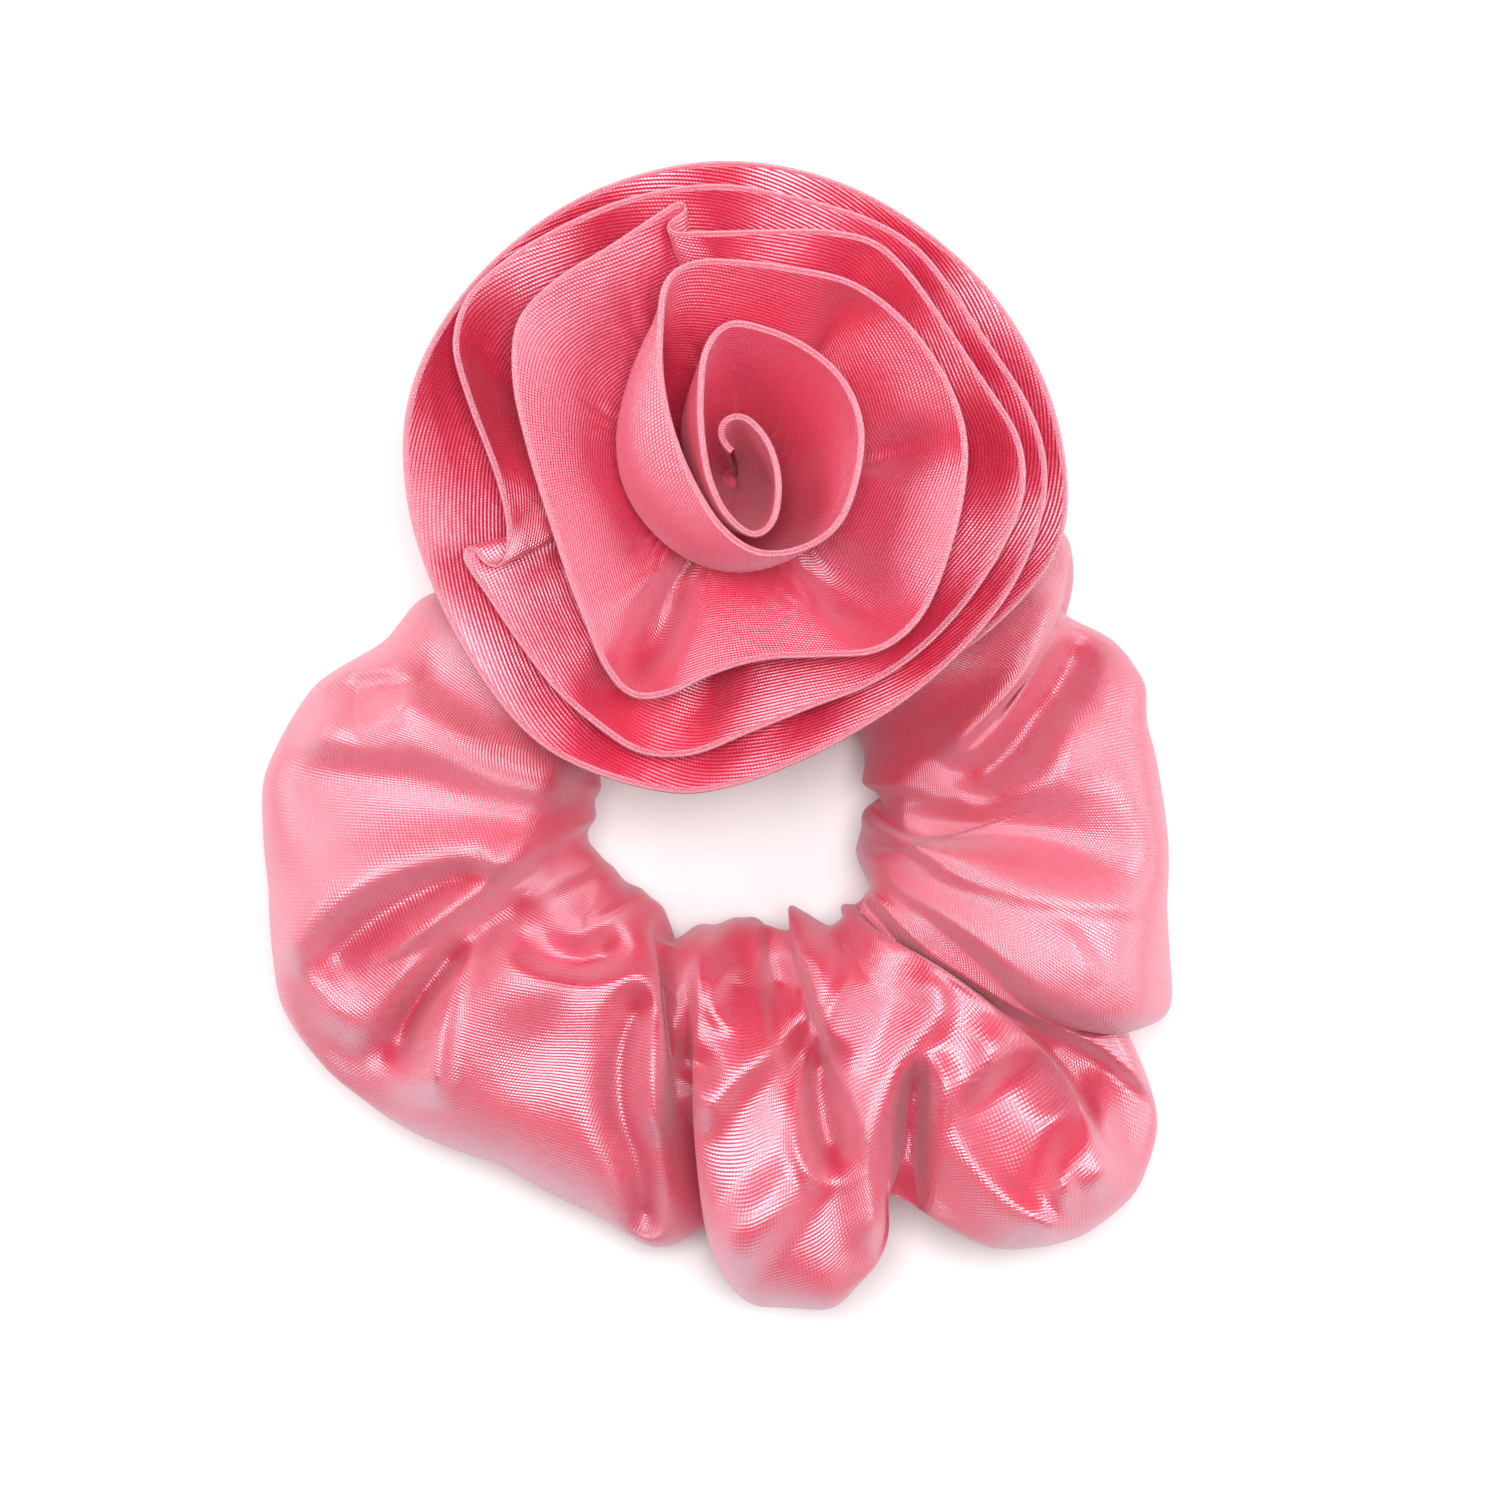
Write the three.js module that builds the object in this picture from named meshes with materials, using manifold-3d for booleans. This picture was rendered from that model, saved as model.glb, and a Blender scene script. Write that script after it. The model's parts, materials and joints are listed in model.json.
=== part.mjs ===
// A satin scrunchie with a rolled satin rose, lying flat.
//
// Millimetres, +Z up. The band lies on z = 0, the rose stands on the +Y side of the ring, and the
// origin is the middle of the whole object's footprint. The sleeve and its elastic are one loop each
// on the real thing; both stretch, so they are built as ten stretches that slide apart together.

import * as THREE from 'three';
import { mergeVertices } from 'three/addons/utils/BufferGeometryUtils.js';
import Module from 'manifold-3d';

const wasm = await Module();
wasm.setup();

// ---------------------------------------------------------------- driving dimensions

const GAP = 0.3;                      // left between pieces that touch

// The gathers, clockwise from the one under the rose. Each begins at the crease `from`, in degrees
// counter-clockwise from +X, and ends where the next begins. `inner` and `reach` are its radii from
// the ring's centre, and `height` is how high it stands.
const GATHERS = [
  { from: 110, inner: 19, reach: 57, height: 24 },
  { from: 75, inner: 16, reach: 58, height: 25 },
  { from: 45, inner: 18, reach: 60, height: 26.5 },
  { from: 12, inner: 19, reach: 63.5, height: 29.5 },
  { from: -38, inner: 20, reach: 80, height: 28.5 },
  { from: -69, inner: 20, reach: 76, height: 29.5 },
  { from: -100, inner: 20, reach: 66, height: 28 },
  { from: -131, inner: 20, reach: 74, height: 29.5 },
  { from: -166, inner: 20, reach: 68.5, height: 28.5 },
  { from: -210, inner: 19, reach: 58, height: 25 },
];
const CREASE_GAP = 0.6;               // open space at each crease
const SEAM_GAP = 1.8;                 // the crease that holds the closing seam
const CREASE_PINCH = 0.14;            // share of reach and height lost at a crease
const GATHER_SQUARENESS = 2.5;        // exponent of the superellipse section
const GATHER_LIFT = 0.44;             // height of the widest level, as a share of the height
const SECTION_POINTS = 16;
const GATHER_STEPS = 8;

const ELASTIC = { radius: 25.5, thickness: 1.2, width: 7, middle: 12.5 };
const TUNNEL = { inner: 22, outer: 27.2, width: 10, past: 2 };   // cut 2 mm past each end
const OVERLAP_LENGTH = 12;            // how far the elastic's two ends are lapped
const OVERLAP_GATHER = 7;             // index of the gather that hides the lap
const ZIGZAG_STITCHES = 5;
const THREAD = 0.5;                   // diameter of sewing thread
const SEAM_THREAD = 0.9;              // diameter of the doubled closing thread
const SEAM_REACH = 0.85;              // share of the crease's half width that the closing thread crosses
const SEAM_SINK = 0.88;               // the thread is pulled down into the crease to this share of its rise
const SEAM_STEPS = 8;

const ROSE_OFFSET = 42.7;             // rose's centre from the ring's centre
const BACKING = { radius: 19, bottom: 27, thickness: 1.6 };
const ROSE_TURNS = 6;
const ROSE_RIM_RADII = [3, 7, 14, 27, 35.5, 41, 45.2];      // at the end of each turn
const ROSE_RIM_HEIGHTS = [53, 52.5, 52, 50, 45, 40.5, 37];
const ROSE_BASE_START = 2;
const ROSE_BASE_END = 17.5;
const ROSE_START_ANGLE = 200;         // degrees; the strip winds clockwise from here
const ROSE_STEPS_PER_TURN = 28;
const STRIP_THICKNESS = 1.2;          // the folded strip, two layers
const TACKS = [-8.5, -3, 3, 8.5];     // places of the tack stitches across the rose
const TACK_THICKNESS = 1.2;

const COLOURS = {
  satin: 0xe0718a,
  roseSatin: 0xe2788f,
  elastic: 0xe9a3b2,
  thread: 0xd4546f,
  felt: 0xdd8a9b,
};

// ---------------------------------------------------------------- helpers

const radians = THREE.MathUtils.degToRad;

function polar(degrees, radius, z) {
  const angle = radians(degrees);
  return new THREE.Vector3(radius * Math.cos(angle), radius * Math.sin(angle), z);
}

// A closed body through a row of closed rings with the same number of points. Each ring is seen
// clockwise from the far end of the row, so the faces point out.
function loft(rings) {
  const count = rings[0].length;
  const points = rings.flat();
  const index = [];
  for (let ring = 0; ring < rings.length - 1; ring++) {
    for (let i = 0; i < count; i++) {
      const a = ring * count + i;
      const b = ring * count + (i + 1) % count;
      index.push(a, b, a + count, b, b + count, a + count);
    }
  }
  const last = (rings.length - 1) * count;
  const outline = (ring) => {
    const origin = ring[0];
    const along = ring[1].clone().sub(origin).normalize();
    const far = ring[Math.floor(count / 2)].clone().sub(origin);
    const normal = new THREE.Vector3().crossVectors(along, far).normalize();
    const across = new THREE.Vector3().crossVectors(normal, along);
    return ring.map((p) => {
      const from = p.clone().sub(origin);
      return new THREE.Vector2(from.dot(along), from.dot(across));
    });
  };
  for (const [a, b, c] of THREE.ShapeUtils.triangulateShape(outline(rings[0]), [])) {
    index.push(a, c, b);
  }
  for (const [a, b, c] of THREE.ShapeUtils.triangulateShape(outline(rings.at(-1)), [])) {
    index.push(last + a, last + b, last + c);
  }
  const geometry = new THREE.BufferGeometry().setFromPoints(points);
  geometry.setIndex(index);
  return geometry;
}

function toSolid(geometry) {
  const bare = geometry.clone();
  bare.deleteAttribute('normal');
  bare.deleteAttribute('uv');
  const merged = mergeVertices(bare);
  return new wasm.Manifold(new wasm.Mesh({
    numProp: 3,
    vertProperties: merged.attributes.position.array,
    triVerts: new Uint32Array(merged.index.array),
  }));
}

function toGeometry(solid) {
  const { vertProperties, triVerts } = solid.getMesh();
  const geometry = new THREE.BufferGeometry();
  geometry.setAttribute('position', new THREE.BufferAttribute(vertProperties, 3));
  geometry.setIndex(new THREE.BufferAttribute(triVerts, 1));
  return geometry;
}

// A round thread along a list of points.
function threadAlong(points, diameter, steps, sides = 6) {
  const section = new THREE.Shape();
  section.absarc(0, 0, diameter / 2, 0, 2 * Math.PI);
  return new THREE.ExtrudeGeometry(section, {
    steps,
    curveSegments: sides,
    extrudePath: new THREE.CatmullRomCurve3(points),
  });
}

function addPiece(group, name, geometry, colour, roughness) {
  geometry.computeVertexNormals();
  const material = new THREE.MeshStandardMaterial({ color: colour, roughness, metalness: 0 });
  const mesh = new THREE.Mesh(geometry, material);
  mesh.name = name;
  group.add(mesh);
  return mesh;
}

const twoDigits = (number) => String(number).padStart(2, '0');

// ---------------------------------------------------------------- band

function gatherEnd(index) {
  return index + 1 < GATHERS.length ? GATHERS[index + 1].from : GATHERS[0].from - 360;
}

// Share of a gather's full size at `share` of the way from one crease to the other.
function fullness(share) {
  return 1 - CREASE_PINCH * (1 - Math.sqrt(Math.sin(Math.PI * share)));
}

// Height of a gather's section at `across`, from -1 at its inner edge to 1 at its outer edge.
function sectionRise(across) {
  return (1 - Math.abs(across) ** GATHER_SQUARENESS) ** (1 / GATHER_SQUARENESS);
}

function superellipse(turn) {
  const round = (value) => Math.sign(value) * Math.abs(value) ** (2 / GATHER_SQUARENESS);
  return [round(Math.cos(turn)), round(Math.sin(turn))];
}

// One section of a gather, flat where it lies on the table.
function gatherRing(gather, degrees, share, shift) {
  const size = fullness(share);
  const outer = gather.inner + (gather.reach - gather.inner) * size;
  const height = gather.height * size;
  const along = polar(degrees - 90, 1, 0).multiplyScalar(shift);
  const ring = [];
  for (let i = 0; i < SECTION_POINTS; i++) {
    const [across, up] = superellipse(2 * Math.PI * i / SECTION_POINTS);
    const radius = (gather.inner + outer) / 2 + (outer - gather.inner) / 2 * across;
    const z = Math.max(0, height * (GATHER_LIFT + (1 - GATHER_LIFT) * up));
    ring.push(polar(degrees, radius, z).add(along));
  }
  return ring;
}

// A bar of rectangular section that follows the ring clockwise between two angles.
function ringBar(inner, outer, bottom, top, from, to, startGap, endGap, steps = 5) {
  const rings = [];
  for (let step = 0; step <= steps; step++) {
    const share = step / steps;
    const degrees = from + (to - from) * share;
    const shift = startGap * (1 - share) - endGap * share;
    const along = polar(degrees - 90, 1, 0).multiplyScalar(shift);
    const corners = [[outer, bottom], [outer, top], [inner, top], [inner, bottom]];
    rings.push(corners.map(([radius, z]) => polar(degrees, radius, z).add(along)));
  }
  return loft(rings);
}

function creaseGaps(index) {
  const last = GATHERS.length - 1;
  return [index === 0 ? SEAM_GAP / 2 : CREASE_GAP / 2, index === last ? SEAM_GAP / 2 : CREASE_GAP / 2];
}

// A gather of the satin sleeve, with the tunnel that the elastic runs through.
function sleeveGather(index) {
  const gather = GATHERS[index];
  const to = gatherEnd(index);
  const [startGap, endGap] = creaseGaps(index);
  const rings = [];
  for (let step = 0; step <= GATHER_STEPS; step++) {
    const share = step / GATHER_STEPS;
    const shift = startGap * (1 - share) - endGap * share;
    rings.push(gatherRing(gather, gather.from + (to - gather.from) * share, share, shift));
  }
  const bottom = ELASTIC.middle - TUNNEL.width / 2;
  const tunnel = ringBar(TUNNEL.inner, TUNNEL.outer, bottom, bottom + TUNNEL.width,
    gather.from, to, -TUNNEL.past, -TUNNEL.past);
  return toGeometry(toSolid(loft(rings)).subtract(toSolid(tunnel)));
}

function elasticArc(index) {
  const [startGap, endGap] = creaseGaps(index);
  const inner = ELASTIC.radius - ELASTIC.thickness / 2;
  const bottom = ELASTIC.middle - ELASTIC.width / 2;
  return ringBar(inner, inner + ELASTIC.thickness, bottom, bottom + ELASTIC.width,
    GATHERS[index].from, gatherEnd(index), startGap, endGap, 4);
}

// The end of the elastic that is lapped over the other, inside the ring.
const lapOuter = ELASTIC.radius - ELASTIC.thickness / 2 - GAP;
const lapInner = lapOuter - ELASTIC.thickness;
const lapMiddle = (GATHERS[OVERLAP_GATHER].from + gatherEnd(OVERLAP_GATHER)) / 2;

function elasticOverlap() {
  const half = THREE.MathUtils.radToDeg(OVERLAP_LENGTH / 2 / lapOuter);
  const bottom = ELASTIC.middle - ELASTIC.width / 2;
  return ringBar(lapInner, lapOuter, bottom, bottom + ELASTIC.width,
    lapMiddle + half, lapMiddle - half, 0, 0, 3);
}

function zigzagThread() {
  const radius = lapInner - GAP - THREAD / 2;
  const margin = 1.5;
  const half = THREE.MathUtils.radToDeg((OVERLAP_LENGTH / 2 - margin) / radius);
  const swing = ELASTIC.width / 2 - margin;
  const points = [];
  for (let i = 0; i <= 2 * ZIGZAG_STITCHES; i++) {
    const share = i / (2 * ZIGZAG_STITCHES);
    const z = ELASTIC.middle + (i % 2 ? swing : -swing);
    points.push(polar(lapMiddle + half - 2 * half * share, radius, z));
  }
  return threadAlong(points, THREAD, 8 * ZIGZAG_STITCHES, 5);
}

// The thread that closes the sleeve's two ends, sewn over the top of the crease beside the rose.
function closingSeamThread() {
  const gather = GATHERS[0];
  const size = fullness(0);
  const span = (gather.reach - gather.inner) * size / 2;
  const middle = gather.inner + span;
  const height = gather.height * size;
  const points = [];
  for (let i = 0; i <= SEAM_STEPS; i++) {
    const across = SEAM_REACH * (1 - 2 * i / SEAM_STEPS);
    const rise = SEAM_SINK * sectionRise(across);
    const z = height * (GATHER_LIFT + (1 - GATHER_LIFT) * rise);
    points.push(polar(gather.from, middle + span * across, z));
  }
  return threadAlong(points, SEAM_THREAD, 20, 6);
}

function buildBand(group) {
  GATHERS.forEach((gather, index) => {
    const number = twoDigits(index + 1);
    addPiece(group, `sleeve_gather_${number}`, sleeveGather(index), COLOURS.satin, 0.4);
    addPiece(group, `elastic_arc_${number}`, elasticArc(index), COLOURS.elastic, 0.9);
  });
  addPiece(group, 'elastic_overlap', elasticOverlap(), COLOURS.elastic, 0.9);
  addPiece(group, 'elastic_zigzag_thread', zigzagThread(), COLOURS.thread, 0.8);
  addPiece(group, 'closing_seam_thread', closingSeamThread(), COLOURS.thread, 0.8);
}

// ---------------------------------------------------------------- rose

const backingTop = BACKING.bottom + BACKING.thickness;
const gatherThreadLevel = backingTop + GAP + THREAD / 2;
const stripBase = gatherThreadLevel + THREAD / 2 + GAP;

// Value of a list with one entry per turn, read smoothly at any point of the winding.
function alongWinding(values, turns) {
  const curve = new THREE.CatmullRomCurve3(values.map((value, i) => new THREE.Vector3(i, value, 0)));
  return curve.getPoint(turns / (values.length - 1)).y;
}

function baseRadius(turns) {
  return ROSE_BASE_START + (ROSE_BASE_END - ROSE_BASE_START) * turns / ROSE_TURNS;
}

// The satin strip, folded lengthwise and rolled: its gathered raw edges stand on the backing and its
// fold is the rim, steep in the heart of the rose and laid open round the outside.
function roseStrip() {
  const steps = ROSE_TURNS * ROSE_STEPS_PER_TURN;
  const rings = [];
  for (let step = 0; step <= steps; step++) {
    const turns = step / ROSE_STEPS_PER_TURN;
    const degrees = ROSE_START_ANGLE - 360 * turns;
    const base = new THREE.Vector2(baseRadius(turns), stripBase);
    const reach = alongWinding(ROSE_RIM_RADII, turns);
    const rim = new THREE.Vector2(reach, alongWinding(ROSE_RIM_HEIGHTS, turns));
    const up = rim.clone().sub(base).normalize();
    const out = new THREE.Vector2(up.y, -up.x).multiplyScalar(STRIP_THICKNESS / 2);
    const inset = up.clone().multiplyScalar(STRIP_THICKNESS / 2);
    const section = [
      base.clone().add(out),
      rim.clone().sub(inset).add(out),
      rim,
      rim.clone().sub(inset).sub(out),
      base.clone().sub(out),
    ];
    section[0].y = stripBase;
    section[4].y = stripBase;
    rings.push(section.map((p) => polar(degrees, p.x, p.y)));
  }
  return loft(rings);
}

// The running thread that draws the strip's raw edges together under the rose.
function roseGatherThread() {
  const turns = ROSE_TURNS - 1;
  const stepsPerTurn = 16;
  const points = [];
  for (let step = 0; step <= turns * stepsPerTurn; step++) {
    const done = 0.5 + step / stepsPerTurn;
    points.push(polar(ROSE_START_ANGLE - 360 * done, baseRadius(done), gatherThreadLevel));
  }
  return threadAlong(points, THREAD, turns * stepsPerTurn, 5);
}

function roseBacking() {
  const edge = 0.5;
  const half = BACKING.thickness / 2;
  const profile = [
    new THREE.Vector2(0, -half),
    new THREE.Vector2(BACKING.radius - edge, -half),
    new THREE.Vector2(BACKING.radius, 0),
    new THREE.Vector2(BACKING.radius - edge, half),
    new THREE.Vector2(0, half),
  ];
  const disc = new THREE.LatheGeometry(profile, 32);
  disc.rotateX(Math.PI / 2);
  disc.translate(0, 0, BACKING.bottom + half);
  return disc;
}

// A tack: a short stack of thread between the band and the felt, on the line the rose rocks about.
function roseTack(x) {
  const gather = GATHERS[0];
  const radius = Math.hypot(x, ROSE_OFFSET);
  const degrees = 90 - THREE.MathUtils.radToDeg(Math.atan2(x, ROSE_OFFSET));
  const size = fullness((gather.from - degrees) / (gather.from - gatherEnd(0)));
  const span = (gather.reach - gather.inner) * size / 2;
  const rise = sectionRise((radius - gather.inner - span) / span);
  const bottom = gather.height * size * (GATHER_LIFT + (1 - GATHER_LIFT) * rise) + GAP;
  const height = BACKING.bottom - GAP - bottom;
  const tack = new THREE.CylinderGeometry(TACK_THICKNESS / 2, TACK_THICKNESS / 2, height, 8);
  tack.rotateX(Math.PI / 2);
  tack.translate(x, ROSE_OFFSET, bottom + height / 2);
  return tack;
}

function buildRose(group) {
  const rose = new THREE.Group();
  rose.position.y = ROSE_OFFSET;
  group.add(rose);
  addPiece(rose, 'rose_strip', roseStrip(), COLOURS.roseSatin, 0.38);
  addPiece(rose, 'rose_gather_thread', roseGatherThread(), COLOURS.thread, 0.8);
  addPiece(rose, 'rose_backing', roseBacking(), COLOURS.felt, 0.95);
  TACKS.forEach((x, i) => {
    addPiece(group, `rose_tack_${i + 1}`, roseTack(x), COLOURS.thread, 0.8);
  });
}

// ---------------------------------------------------------------- assembly

const scrunchie = new THREE.Group();
const ring = new THREE.Group();
buildBand(ring);
buildRose(ring);
scrunchie.add(ring);

// The origin is under the middle of the footprint.
const extent = new THREE.Box3().setFromObject(ring);
const middle = extent.getCenter(new THREE.Vector3());
ring.position.set(-middle.x, -middle.y, -extent.min.z);

export default scrunchie;
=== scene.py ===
"""A satin scrunchie with a rolled satin rose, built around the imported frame. Metres, +Z up."""

import json
import math

import bpy
import numpy as np
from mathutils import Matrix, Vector, noise


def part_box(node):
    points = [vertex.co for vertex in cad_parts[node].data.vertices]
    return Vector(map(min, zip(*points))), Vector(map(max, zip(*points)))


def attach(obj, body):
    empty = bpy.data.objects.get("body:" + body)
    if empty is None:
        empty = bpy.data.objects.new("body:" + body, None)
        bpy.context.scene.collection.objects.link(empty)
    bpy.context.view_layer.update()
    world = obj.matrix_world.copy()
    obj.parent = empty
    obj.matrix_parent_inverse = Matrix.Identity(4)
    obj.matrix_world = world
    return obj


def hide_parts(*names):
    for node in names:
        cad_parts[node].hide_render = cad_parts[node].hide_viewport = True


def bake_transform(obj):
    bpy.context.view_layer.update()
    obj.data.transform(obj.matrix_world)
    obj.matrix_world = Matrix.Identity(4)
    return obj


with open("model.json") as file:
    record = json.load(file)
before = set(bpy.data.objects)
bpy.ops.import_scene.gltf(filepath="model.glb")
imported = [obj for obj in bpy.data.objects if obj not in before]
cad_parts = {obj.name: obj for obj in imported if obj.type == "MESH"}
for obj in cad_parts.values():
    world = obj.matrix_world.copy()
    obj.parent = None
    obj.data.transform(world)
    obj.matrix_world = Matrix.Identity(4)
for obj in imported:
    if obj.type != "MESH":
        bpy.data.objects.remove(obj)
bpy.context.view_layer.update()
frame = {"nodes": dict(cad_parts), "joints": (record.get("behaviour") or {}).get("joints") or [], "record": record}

# ---------------- places, from the frame

record = frame["record"]
joints = {joint["name"]: joint for joint in frame["joints"]}
hole_low, hole_high = record["physics"]["openings"][0]["box_m"]
RING = np.array([(hole_low[0] + hole_high[0]) / 2, (hole_low[1] + hole_high[1]) / 2, 0.0])
ROSE = np.array(joints["rose_rock"]["pos_m"])
MM = 0.001
GATHERS = 10

# Creases of the band, clockwise from the gather under the rose: the angle in degrees at the hole, the
# angle at the outside (some run aslant) and how deep the crease is.
CREASES = [(112, 108, 0.5), (78, 74, 0.5), (45, 46, 0.5), (356, 378, 0.45), (320, 325, 0.5), (306, 292, 0.55),
           (288, 285, 0.3), (249, 257, 0.45), (203, 214, 0.22), (150, 150, 0.3)]
# The creases between two bodies of the frame, clockwise.
BODY_CREASES = [110, 75, 45, 12, -38, -69, -100, -131, -166, -210, -250]

# Outline of the band seen from above: angle in degrees, distance from the ring's centre in mm.
REACH = [(9, 58.5), (14, 60), (26, 57), (37, 58), (60, 57), (90, 56), (120, 54), (148, 51), (158, 54),
         (166, 61), (179, 67), (192, 67.5), (205, 71), (216, 70.5), (226, 67), (238, 63), (253, 64),
         (265, 68), (272, 72.5), (281, 74.5), (290, 67), (298, 74.5), (308, 80), (315, 80), (322, 77.5),
         (329, 70), (345, 63)]
# The same for the edge of the hole.
HOLE_REACH = [(0, 18.5), (90, 19), (180, 19), (202, 21.5), (228, 19.5), (250, 21), (270, 18.5), (296, 20),
              (317, 25), (332, 19.5), (345, 18.5)]
# The same for how high the band stands.
HEIGHT = [(0, 28.5), (30, 26), (60, 23.5), (92, 22.5), (125, 23.5), (150, 26), (180, 28.5), (270, 29.5)]

# Folds of the sleeve's upper side: the line of each one from the ring's centre in mm, its height in mm
# (a hollow is negative), and how wide it is in mm on the left and on the right of the line.
FOLDS = [
    # left lobe, long ridge
    ([(-63, 8.5), (-52, 6), (-41.5, 4.5), (-33, 1.5), (-21, -2)], 3.2, 4, 3),
    # left lobe, upper ridge
    ([(-49, 16), (-45.5, 11.5), (-38.5, 7.5), (-30, 5), (-20.5, -0.5)], 3, 2.5, 4),
    # left lobe, top flap
    ([(-61, 11.5), (-54.5, 16.5), (-41.5, 15.5)], 1.5, 6, 1.2),
    # left lobe, hollow under the long ridge
    ([(-49.5, 12), (-56.5, 11.5)], -1.5, 4, 4),
    # ridge over the deep fold
    ([(-62.5, -27.5), (-59, -20), (-51, -13.5), (-40, -10), (-24.5, -10.5)], 3.5, 5, 1.8),
    # deep fold
    ([(-60, -27.5), (-52, -19.5), (-42.5, -14.5), (-33, -11.5)], -4, 2.5, 3.5),
    # second ridge
    ([(-61, -32.5), (-54.5, -31), (-47.5, -26), (-43.5, -20), (-33, -13)], 2.5, 3, 2.5),
    # third ridge
    ([(-56.5, -37.5), (-48.5, -30.5), (-42.5, -23), (-37.5, -16.5), (-27.5, -12)], 3, 2.5, 2),
    # narrow fold
    ([(-48, -41.5), (-46.5, -34), (-41.5, -25.5), (-37, -19.5)], -5, 2, 2.5),
    # lobe 2 left edge
    ([(-42, -46), (-41.5, -37), (-40, -28.5), (-37, -22), (-35, -19.5)], 3.5, 5, 1.5),
    # lobe 2 lip
    ([(-35, -19.5), (-30, -25), (-20.5, -27.5), (-12.5, -25.5), (-11, -22)], 2.5, 1.5, 6),
    # lobe 2 pocket
    ([(-31, -22), (-21.5, -24.5), (-13.5, -22)], -4.5, 3, 1.5),
    # lobe 2 upper
    ([(-31.5, -18), (-20.5, -11.5), (-13.5, -16.5)], 2, 5, 5),
    # fold right of lobe 2
    ([(-11.5, -26.5), (-15.5, -34.5), (-16, -44), (-13.5, -53.5), (-12.5, -66)], -5, 2.5, 2.5),
    # thin ridge
    ([(-5.5, -18.5), (-7, -30), (-10.5, -39.5), (-10, -51)], 3.5, 2, 2.5),
    # bottom lobe fold
    ([(-3, -35.5), (-6.5, -42.5)], -5, 2, 2.5),
    # curl
    ([(2, -23.5), (-2, -26.5), (-3, -30.5), (-1, -33), (2, -31)], 1.8, 1.2, 1.2),
    # curl heart
    ([(-0.5, -29), (0.5, -26.5)], -3.5, 1.6, 1.6),
    # bottom lobe ridge
    ([(12, -18), (12, -27.5), (5, -36), (-1.5, -41.5), (-6.5, -48.5)], 4, 2.2, 4),
    # bottom lobe hollow
    ([(7.5, -23), (5.5, -32.5)], -2.5, 3, 2),
    # bottom lobe right edge
    ([(16, -18), (16.5, -24.5), (12, -34.5), (9.5, -41.5), (9, -49.5), (13, -58)], 3, 5, 1.3),
    # bottom deep fold
    ([(14, -34), (11.5, -41.5), (12, -48), (15.5, -55.5)], -6, 2.5, 2.5),
    # bottom swell
    ([(-2, -56.5), (7.5, -65)], 3, 9, 9),
    # right thin fold
    ([(25, -23), (28.5, -30.5), (24, -37), (20.5, -44), (18, -53), (20.5, -66)], 2.5, 1.5, 3),
    # slit
    ([(26, -37), (25, -46.5), (23.5, -60), (22.5, -70)], -9, 1.8, 1.8),
    # pocket rim
    ([(27.5, -35.5), (30, -46.5), (35.5, -55.5), (43.5, -61.5), (49, -63.5)], 3, 1.8, 4),
    # pocket
    ([(35, -38), (41.5, -46.5), (48.5, -52)], -9, 7, 7),
    # pocket ridge 1
    ([(32, -32), (35.5, -36), (33, -44), (30, -45.5)], 2, 1.8, 1.8),
    # pocket ridge 2
    ([(45, -46), (45.5, -53.5), (47, -61.5)], 2, 1.6, 1.6),
    # pocket ridge 3
    ([(50, -38.5), (52, -51), (49, -58.5)], 2.5, 2, 2),
    # overlap edge
    ([(17, -5), (17, -10.5), (22.5, -18.5), (28.5, -24), (40, -31), (50.5, -36), (60.5, -44)], 5, 12, 1),
    # right lobe bent ridge
    ([(18, -2.5), (29.5, -1.5), (40, -0.5), (44, 2), (46, 13.5)], 2.8, 2.5, 3.5),
    # right lobe facet
    ([(18, -7), (29.5, -11.5), (43.5, -15.5), (59.5, -17)], 1, 4, 1.2),
    # right lobe small crease
    ([(44, -16.5), (47, -22), (51, -28.5)], 0.9, 1.2, 3),
    # upper right ridge
    ([(30, 1.5), (38, 12.5), (45, 23), (49, 29)], 3.5, 5, 2.5),
    # upper right fold
    ([(31.5, -2), (41.5, 7.5), (47, 16.5), (49.5, 22.5)], -4, 2, 2.5),
]

# ---------------- tools


def around(table, degrees):
    """Value of a list of (angle, value), read smoothly all the way round."""
    angles = np.array([angle for angle, _ in table], float)
    values = np.array([value for _, value in table], float)
    angles = np.concatenate([angles[-2:] - 360, angles, angles[:2] + 360])
    values = np.concatenate([values[-2:], values, values[:2]])
    return np.interp(np.mod(degrees, 360), angles, values)


def smooth_ring(values, width):
    """Running mean of a closed row."""
    window = np.ones(2 * width + 1) / (2 * width + 1)
    return np.convolve(np.concatenate([values[-width:], values, values[:width]]), window, "valid")


def smooth_row(values, width):
    """Running mean of an open row."""
    window = np.ones(2 * width + 1) / (2 * width + 1)
    padded = np.concatenate([np.full(width, values[0]), values, np.full(width, values[-1])])
    return np.convolve(padded, window, "valid")


def smooth_columns(values, width):
    return np.stack([smooth_row(values[:, k], width) for k in range(values.shape[1])], axis=1)


def blend_knots(a, b, start, end, t):
    return ((end - t) * a + (t - start) * b) / (end - start)


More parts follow.
